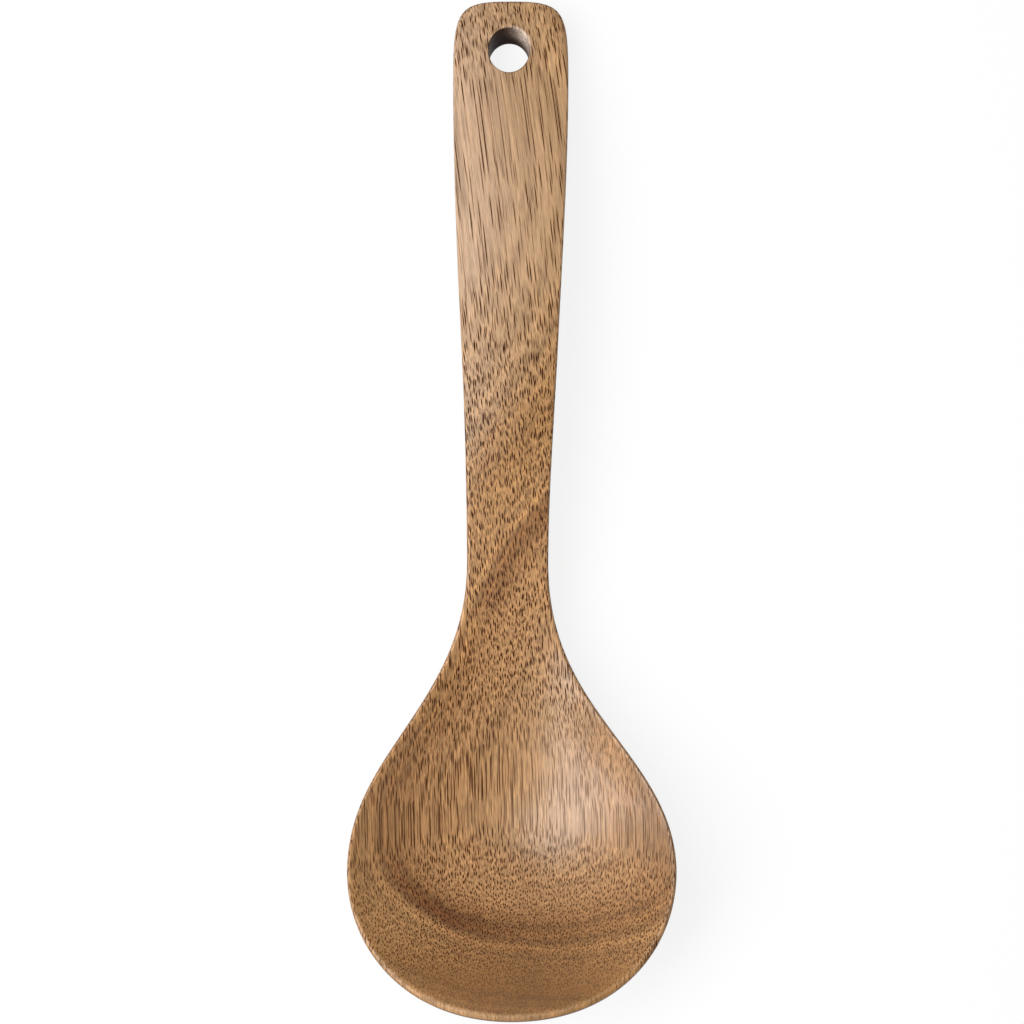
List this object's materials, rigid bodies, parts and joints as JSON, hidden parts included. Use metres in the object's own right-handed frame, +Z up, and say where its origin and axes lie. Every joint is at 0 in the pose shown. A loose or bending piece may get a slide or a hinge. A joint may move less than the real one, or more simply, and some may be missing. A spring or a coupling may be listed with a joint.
{
  "type": "wooden soup spoon",
  "caption": "Deep round-bowled soup spoon carved in one piece of wood, with an arched flat handle and a drilled hanging hole.",
  "frame": {"origin": "middle of the small flat sanded under the bowl, on which the spoon rests", "axes": "+Y along the handle from the bowl to the drilled end, +Z up out of the bowl, +X to the right seen from above with the handle pointing away"},
  "size_m": [0.0787, 0.245, 0.031],
  "materials": {
    "oiled_wood": "satin oiled hardwood with open pores along the handle"
  },
  "bodies": {
    "root": {"carved_spoon": "oiled_wood"}
  },
  "joints": []
}
